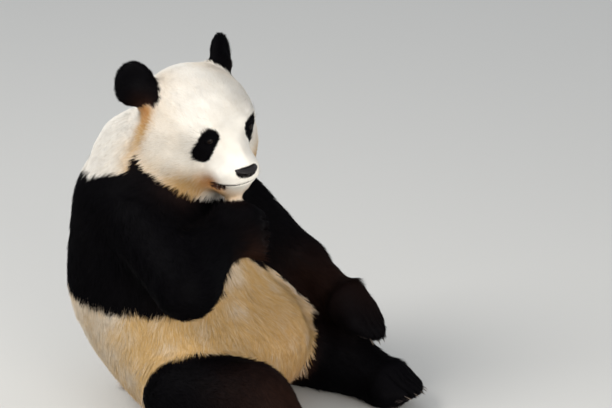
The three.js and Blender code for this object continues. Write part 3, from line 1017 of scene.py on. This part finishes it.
# %% Unwrap the skin
skin = in_scene("skin", skin_mesh)
skin_mesh.materials.clear()
skin_mesh.materials.append(skin_material)
skin_mesh.shade_smooth()
skin_mesh.uv_layers.new(name="skin_unwrap")
bpy.context.view_layer.objects.active = skin
for thing in bpy.context.selected_objects:
    thing.select_set(False)
skin.select_set(True)
bpy.ops.object.mode_set(mode="EDIT")
bpy.ops.mesh.select_all(action="SELECT")
bpy.ops.uv.smart_project(angle_limit=math.radians(66), island_margin=0.004)
bpy.ops.object.mode_set(mode="OBJECT")
skin_mesh = skin.data

# %% Read the skin as triangles
skin_mesh.calc_loop_triangles()
corners = read(skin_mesh.loop_triangles, "vertices", 3, np.int32)
loops = read(skin_mesh.loop_triangles, "loops", 3, np.int32)
triangle_map = read(skin_mesh.uv_layers["skin_unwrap"].uv, "vector", 2)[loops]
a, b, c = (skin_places[corners[:, k]] for k in range(3))
triangle_area = np.linalg.norm(np.cross(b - a, c - a), axis=1) / 2
print("triangles", len(corners), "skin area", round(float(triangle_area.sum()), 2), "m2")

# %% [markdown]
# ## Planting and shaping tufts
# A tuft is a slim three-sided spike that leaves the skin at a low angle, follows the body's
# roundness and ends in a point. The coat's have four faces, so there can be very many of
# them, and single hairs bend at a middle ring and have ten. Neighbours lean
# towards a shared leader at their tips, which is what gathers real hair into locks.
# All tufts of a piece are made at once from arrays, because a loop over three hundred
# thousand of them would be slow. Each corner takes its shading mostly from the skin
# below it, so the coat looks soft instead of faceted.

# %% Plant roots on part of the skin
def planted(chosen, seed):
    """Roots spread over the chosen triangles, as close as the coat's spacing says."""
    rng = np.random.default_rng(seed)
    spacing = coat_spacing[corners[chosen]].mean(1) * MM
    keep = 1 - bare[corners[chosen]].mean(1)
    wanted = np.cumsum(triangle_area[chosen] / spacing ** 2 * keep)
    number = int(wanted[-1])
    spots = np.searchsorted(wanted, (np.arange(number) + rng.random(number)) * wanted[-1] / number)
    triangle = chosen[spots.clip(0, len(chosen) - 1)]
    shares_of = rng.random((number, 2))
    over = shares_of.sum(1) > 1
    shares_of[over] = 1 - shares_of[over]
    weight = np.column_stack([1 - shares_of.sum(1), shares_of])
    return triangle, weight


def at_roots(values, triangle, weight):
    picked = values[corners[triangle]]
    return np.einsum("ij...,ij->i...", picked, weight)


# %% Shape the tufts of a piece
def tree_of(places):
    tree = KDTree(len(places))
    for number, place in enumerate(places):
        tree.insert(place, number)
    tree.balance()
    return tree


skin_tree = tree_of(skin_places)
PATCH = 0.0015
SINK = 0.8 * MM
TUFTS_TO_LEADER = 8
FARTHEST_PULL = 14 * MM
MIDDLE_PULL = 0.35
LEAN = 0.13
OFF_FLOOR = 0.4 * MM
MARK_AT = 0.35
STREAKS = 0.17
FULLY_STREAKED = 22 * MM
LONG_FACES = np.array([
    (0, 2, 1),
    (0, 1, 4), (0, 4, 3), (1, 2, 5), (1, 5, 4), (2, 0, 3), (2, 3, 5),
    (3, 4, 6), (4, 5, 6), (5, 3, 6),
])
SHORT_FACES = np.array([(0, 2, 1), (0, 1, 3), (1, 2, 3), (2, 0, 3)])
ALONG = {7: np.array([0, 0, 0, 0.5, 0.5, 0.5, 1.0]), 4: np.array([0, 0, 0, 1.0])}
PATCH_U = {7: np.array([-1, 1, 0, -1, 1, 0, 0]) * PATCH, 4: np.array([-1, 1, 0, 0]) * PATCH}
PATCH_V = {7: np.array([-1, -1, -0.7, 0, 0, 0.3, 1]) * PATCH, 4: np.array([-1, -1, -0.5, 1]) * PATCH}


def gathered(root, middle, tip, pull, rng):
    """Middles and tips drawn towards those of the nearest leader."""
    number = max(len(root) // TUFTS_TO_LEADER, 1)
    leaders = np.sort(rng.choice(len(root), number, replace=False))
    tree = tree_of(root[leaders])
    nearest = leaders[[tree.find(place)[1] for place in root]]
    offset = tip[nearest] - tip
    far = np.linalg.norm(offset, axis=1, keepdims=True)
    offset *= np.minimum(1, FARTHEST_PULL / np.maximum(far, 1e-9))
    return middle + offset * pull * MIDDLE_PULL, tip + offset * pull


def tuft_points(measures, long, pull, rng):
    """The corners of each tuft, and the directions that they are shaded by."""
    root, normal, way, length, width, rise, bend = measures
    lift = rise * rng.uniform(0.75, 1.25, len(root))
    lean = rng.normal(0, LEAN, len(root))
    side = np.cross(normal, way)
    way = unit(way + side * lean[:, None])
    side = np.cross(normal, way)

    def out_along(share, height):
        reach = share * length
        drop = bend * reach ** 2 / 2
        return root + way * reach[:, None] + normal * (lift * height * length - drop)[:, None]

    pull = (pull * ramp(8 * MM, 34 * MM, length))[:, None]
    middle, tip = gathered(root, out_along(0.46, 0.42), out_along(0.94, 0.62), pull, rng)
    half = (width / 2)[:, None]
    turned = unit(normal + way * (bend * length)[:, None])
    base = root - normal * SINK
    rings = [(base, half * 0.8), (middle, half)] if long else [(base, half)]
    corners_of, facing = [], []
    for centre, out in rings:
        corners_of += [centre - side * out, centre + side * out, centre + normal * out * 0.9]
        facing += [normal - side * 0.6, normal + side * 0.6, normal]
    corners_of.append(tip)
    facing.append(turned + way * 0.15)
    return np.stack(corners_of, axis=1), unit(np.stack(facing, axis=1))


def tuft_object(name, points, facing, triangle, weight, rng, tone=None):
    number, each = points.shape[:2]
    points[..., 2] = np.maximum(points[..., 2], OFF_FLOOR)
    points = np.clip(points, *(np.array(corner) for corner in cad_box))
    mesh = bpy.data.meshes.new(name)
    mesh.vertices.add(number * each)
    mesh.vertices.foreach_set("co", points.astype(np.float32).ravel())
    pattern = LONG_FACES if each == 7 else SHORT_FACES
    faces = (np.arange(number)[:, None, None] * each + pattern).reshape(-1, 3)
    mesh.loops.add(faces.size)
    mesh.loops.foreach_set("vertex_index", faces.astype(np.int32).ravel())
    mesh.polygons.add(len(faces))
    mesh.polygons.foreach_set("loop_start", np.arange(0, faces.size, 3, dtype=np.int32))
    mesh.polygons.foreach_set("use_smooth", np.ones(len(faces), bool))
    root_map = np.einsum("ijk,ij->ik", triangle_map[triangle], weight)
    across, over = root_map[:, :1] + PATCH_U[each], root_map[:, 1:] + PATCH_V[each]
    corner_map = np.stack([across, over], axis=-1).reshape(-1, 2)[faces.ravel()]
    layer = mesh.uv_layers.new(name="OFBake")
    layer.uv.foreach_set("vector", corner_map.astype(np.float32).ravel())
    marked_at = points[:, 0] * (1 - MARK_AT) + points[:, -1] * MARK_AT
    if tone is None:
        tone = black[[skin_tree.find(place)[1] for place in marked_at]]
    tuft_length = np.linalg.norm(points[:, -1] - points[:, 0], axis=1)
    long_share = np.clip(tuft_length / FULLY_STREAKED, 0.38, 1)
    streaky = 1 + rng.normal(0, STREAKS, number) * long_share
    marks = {
        "black": ramp(0.36, 0.64, tone + rng.normal(0, 0.07, number)),
        "tan": np.clip(at_roots(tan, triangle, weight) * streaky, 0, 1),
        "rust": np.clip(at_roots(rust, triangle, weight) * streaky, 0, 1),
        "shade": 0.62 + (rng.beta(2.6, 1.6, number) - 0.62) * long_share,
    }
    marks = {label: np.repeat(values, each) for label, values in marks.items()}
    # Along sets the painted root shade and the black tip sheen; on short tufts it starts higher at the
    # root, so they get less shade.
    marks["along"] = (1 - np.outer(long_share, 1 - ALONG[each])).ravel()
    for label, values in marks.items():
        put_values(mesh, label, values)
    mesh.update()
    mesh.normals_split_custom_set_from_vertices(facing.reshape(-1, 3).astype(np.float32))
    mesh.materials.append(coat_material)
    return in_scene(name, mesh)


# %% [markdown]
# ## The coat in pieces
# One mesh of a million faces is slow to handle, so the coat is divided as a furrier would:
# face, crown, ears, neck, six parts of the trunk, and the arm, leg and paws of each side.
# A piece ends where the next begins on the skin, and the tufts lie across the joins.

# %% Divide the skin and grow the coat
triangle_owner = owner[corners[:, 0]]
middle_of = skin_places[corners].mean(1)
front = middle_of[:, 0] > -0.02
upper = middle_of[:, 2] > 0.33
on_left = middle_of[:, 1] > 0


def from_solids(*starts):
    return owned_by(triangle_owner, *starts)


trunk = from_solids("trunk", "tail")
head = of_head(triangle_owner)
ahead_of = to_head(middle_of)[:, 0] > 30
COAT = {
    "coat_face": (head & ahead_of, "white_coat"),
    "coat_crown": (head & ~ahead_of, "white_coat"),
    "coat_ears": (from_solids("ear"), "black_coat"),
    "coat_neck": (from_solids("neck"), "white_coat"),
    "coat_chest": (trunk & front & upper, "black_coat"),
    "coat_back": (trunk & ~front & upper, "black_coat"),
}
LIMB_COATS = {
    "arm": ("upper_arm", "forearm"),
    "leg": ("thigh", "shin"),
    "paws": ("forepaw", "hind_foot"),
}
for side, here in (("right", ~on_left), ("left", on_left)):
    COAT[f"coat_belly_{side}"] = (trunk & front & ~upper & here, "cream_coat")
    COAT[f"coat_rump_{side}"] = (trunk & ~front & ~upper & here, "cream_coat")
    for part, solids in LIMB_COATS.items():
        chosen = from_solids(*(f"{solid}_{side}" for solid in solids))
        COAT[f"coat_{part}_{side}"] = (chosen, "black_coat")

GATHERING = 0.22
coat_pieces = {}
for seed, (name, (chosen, slot)) in enumerate(COAT.items()):
    rng = np.random.default_rng(100 + seed)
    triangle, weight = planted(np.nonzero(chosen)[0], 200 + seed)
    root = at_roots(skin_places, triangle, weight)
    normal = unit(at_roots(skin_normals, triangle, weight))
    way = laid_in(at_roots(lie, triangle, weight), normal)
    length = at_roots(coat_length, triangle, weight) * MM * rng.uniform(0.7, 1.2, len(root))
    width = at_roots(coat_width, triangle, weight) * MM * rng.uniform(0.75, 1.2, len(root))
    rise = at_roots(coat_rise, triangle, weight)
    bend = at_roots(roundness, triangle, weight)
    measures = (root, normal, way, length, width, rise, bend)
    points, facing = tuft_points(measures, False, GATHERING, rng)
    coat_pieces[name] = (tuft_object(name, points, facing, triangle, weight, rng), slot)
    print(name, len(root), "tufts", len(coat_pieces[name][0].data.polygons), "faces")

# %% [markdown]
# ## Brow hairs and whiskers
# Stiff single hairs stand out above the eyes, on the upper lip and on the chin. They're made as
# tufts are, but only a third of a millimetre wide, and each group has its own place,
# way and length on both sides of the face.

# %% Grow the single hairs
WHISKERS = {
    "brow": ((98, 66, 58), 13, (-0.5, 1.0, 0.5), 24, 10, 1.0),
    "lip": ((148, 38, -52), 9, (0.25, 1.0, -0.35), 34, 12, 0.0),
    "chin": ((132, 22, -98), 8, (0.5, 0.4, -1.0), 16, 7, 0.0),
}
HAIR_WIDTH = 0.3 * MM
triangle_at = np.zeros(len(skin_places), int)
triangle_at[corners[:, 0]] = np.arange(len(corners))
rng = np.random.default_rng(77)
whisker_parts = []
for place, reach, way, length, number, tone in WHISKERS.values():
    for sign in (-1, 1):
        spots = (np.array(place) + rng.normal(0, reach, (number, 3))) * [1, sign, 1]
        triangle = triangle_at[[skin_tree.find(spot)[1] for spot in from_head(spots)]]
        whisker_parts.append((triangle, np.tile(np.array(way) * [1, sign, 1], (number, 1)),
                              length * rng.uniform(0.6, 1.15, number), np.full(number, tone)))
triangle, way, length, tone = (np.concatenate(parts) for parts in zip(*whisker_parts))
weight = np.tile([1.0, 0.0, 0.0], (len(triangle), 1))
root = at_roots(skin_places, triangle, weight)
normal = unit(at_roots(skin_normals, triangle, weight))
way = laid_in(way @ HEAD_TURN.T, normal)
size = np.ones(len(root))
measures = (root, normal, way, length * MM, HAIR_WIDTH * size, 0.5 * size, 8.0 * size)
points, facing = tuft_points(measures, True, 0.0, rng)
whiskers = tuft_object("whiskers", points, facing, triangle, weight, rng, tone)
coat_pieces["whiskers"] = (whiskers, "white_coat")
print("single hairs", len(root))

# %% [markdown]
# ## Eyes
# Each eye is a dark brown ball with a slit of a pupil under a clear, wet surface. The
# packed ball is faceted, so a finer one takes its place, with the colours as rings round
# the gaze and a coat of gloss over them all.

# %% Make the eyes
def eye_material():
    material, tree, shader = new_material("wet_eye", 0.30, 0.05)
    shader.inputs["Coat Weight"].default_value = 0.15
    shader.inputs["Coat Roughness"].default_value = 0.03
    ring = attribute_of(material, "ring")
    slit = attribute_of(material, "slit")
    fleck = object_texture(tree, "ShaderNodeTexNoise", 900)
    iris = blended(tree, fleck.outputs["Fac"], (0.004, 0.002, 0.0015), (0.011, 0.006, 0.004))
    rim = blended(tree, ring, iris, (0.003, 0.0025, 0.0025))
    tree.links.new(blended(tree, slit, rim, (0.002, 0.002, 0.002)), shader.inputs["Base Color"])
    return material


wet_eye = eye_material()


def make_eye(side, sign):
    form = bmesh.new()
    bmesh.ops.create_uvsphere(form, u_segments=48, v_segments=32, radius=1)
    mesh = mesh_from(form, f"eyeball_{side}")
    across, over = eye_axes()
    flip = np.array([1, sign, 1])
    ball = places_of(mesh)
    gaze_side, up_side = ball[:, 2], ball[:, 1]
    bulge = 1 + 0.06 * ramp(0.75, 1.0, gaze_side)
    local = (np.outer(ball[:, 0], across) + np.outer(up_side, over) + np.outer(gaze_side, GAZE))
    local = (EYE + local * bulge[:, None] * EYE_RADIUS) * flip
    put_places(mesh, from_head(local))
    if sign < 0:
        mesh.flip_normals()
    angle = np.degrees(np.arccos(gaze_side.clip(-1, 1)))
    slit = ramp(1.25, 0.8, np.hypot(ball[:, 0] / 0.13, ball[:, 1] / 0.30)) * (gaze_side > 0)
    put_values(mesh, "ring", ramp(30, 44, angle))
    put_values(mesh, "slit", slit)
    mesh.shade_smooth()
    mesh.materials.append(wet_eye)
    return in_scene(f"eyeball_{side}", mesh)


eyes = {"right": make_eye("right", -1), "left": make_eye("left", 1)}

# %% [markdown]
# ## The nose
# A panda's nose is a broad leathery pad, wider at the top, with a nostril like a comma at
# each side and a groove down its middle. A fine ball is flattened into that shape, and
# the nostrils are pressed into it.

# %% Make the nose
def nose_form(ball):
    x, y, z = ball.T
    made = ball * NOSE_RADII
    made[:, 1] *= 1.05 - 0.42 * ramp(0.25, -1.0, z)
    made[:, 2] = np.where(z > 0, made[:, 2] * 0.72, made[:, 2]) + 3.6 * y ** 2 - 0.075 * made[:, 1]
    made[:, 0] += 1.2 * np.exp(-((np.abs(y) - 0.5) / 0.25) ** 2) * ramp(0, 0.6, x)
    hole = np.hypot((np.abs(y) - 0.46 - 0.22 * (z + 0.12)) / 0.19, (z + 0.12) / 0.17)
    made[:, 0] -= 10.5 * ramp(1.25, 0.45, hole) * (x > 0)
    comma = np.hypot((np.abs(y) - 0.72) / 0.20, (z + 0.20) / 0.10)
    made[:, 0] -= 5.0 * ramp(1.2, 0.4, comma) * (x > 0)
    groove = np.exp(-(y / 0.05) ** 2) * ramp(0.25, -0.2, z) * (x > 0)
    made[:, 0] -= 2.4 * groove
    return made + NOSE


form = bmesh.new()
bmesh.ops.create_icosphere(form, subdivisions=6, radius=1)
nose_mesh = mesh_from(form, "nose_pad")
put_places(nose_mesh, from_head(nose_form(places_of(nose_mesh))))
nose_mesh.shade_smooth()
nose_skin, tree, shader = new_material("nose_leather", 0.46, 0.28)
pebbles = object_texture(tree, "ShaderNodeTexVoronoi", 620)
relief = tree.nodes.new("ShaderNodeBump")
relief.inputs["Strength"].default_value = 0.5
relief.inputs["Distance"].default_value = 0.0008
relief.invert = True
tree.links.new(pebbles.outputs["Distance"], relief.inputs["Height"])
tree.links.new(relief.outputs["Normal"], shader.inputs["Normal"])
leather = blended(tree, pebbles.outputs["Distance"], (0.014, 0.010, 0.010), (0.005, 0.004, 0.004))
tree.links.new(leather, shader.inputs["Base Color"])
nose_mesh.materials.append(nose_skin)
nose = in_scene("nose_pad", nose_mesh)
print("nose faces", len(nose_mesh.polygons))

# %% [markdown]
# ## Claws
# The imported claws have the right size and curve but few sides. A copy of each is
# rounded by subdivision, and its root is drawn back into the skin, so that no gap shows
# between toe and claw from any side.

# %% Round the claws
CLAW_REACH = 13 * MM
claw_horn, tree, shader = new_material("claw_horn", 0.33)
streaks = object_texture(tree, "ShaderNodeTexNoise", 260)
streaks.inputs["Detail"].default_value = 5
tip_side = attribute_of(claw_horn, "tip")
horn = blended(tree, streaks.outputs["Fac"], (0.030, 0.022, 0.017), (0.085, 0.062, 0.045))
tree.links.new(blended(tree, tip_side, horn, (0.30, 0.23, 0.16)), shader.inputs["Base Color"])


def rounded_claw(name):
    paw = name.replace("claw_", "").rsplit("_", 1)[0]
    low, high = (np.array(corner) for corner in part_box(paw))
    paw_middle = (low + high) / 2
    mesh = joined_copy([name], 0)
    places = places_of(mesh)
    off = np.linalg.norm(places - paw_middle, axis=1)
    tip = places[off.argmax()]
    reach = np.linalg.norm(places - tip, axis=1)
    at_root = reach > reach.max() * 0.86
    places[at_root] += unit(places[at_root].mean(0) - tip) * CLAW_REACH
    put_places(mesh, places)
    thing = bpy.data.objects.new(name, mesh)
    smooth = thing.modifiers.new("round", "SUBSURF")
    smooth.levels = smooth.render_levels = 2
    mesh = evaluated_mesh(thing)
    mesh.name = name.replace("claw_", "horn_")
    reach = np.linalg.norm(places_of(mesh) - tip, axis=1)
    put_values(mesh, "tip", ramp(22 * MM, 0, reach))
    mesh.shade_smooth()
    mesh.materials.clear()
    mesh.materials.append(claw_horn)
    return in_scene(mesh.name, mesh)


claws = {name: rounded_claw(name) for name in sorted(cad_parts) if name.startswith("claw_")}
print("claws", len(claws))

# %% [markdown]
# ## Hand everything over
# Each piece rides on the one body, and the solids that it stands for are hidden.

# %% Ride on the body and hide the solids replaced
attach(skin, "root")
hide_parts(*FLESH)
for piece, slot in coat_pieces.values():
    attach(piece, "root")
for side, ball in eyes.items():
    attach(ball, "root")
    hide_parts(f"eye_{side}")
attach(nose, "root")
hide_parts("nose")
for name, claw in claws.items():
    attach(claw, "root")
    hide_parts(name)
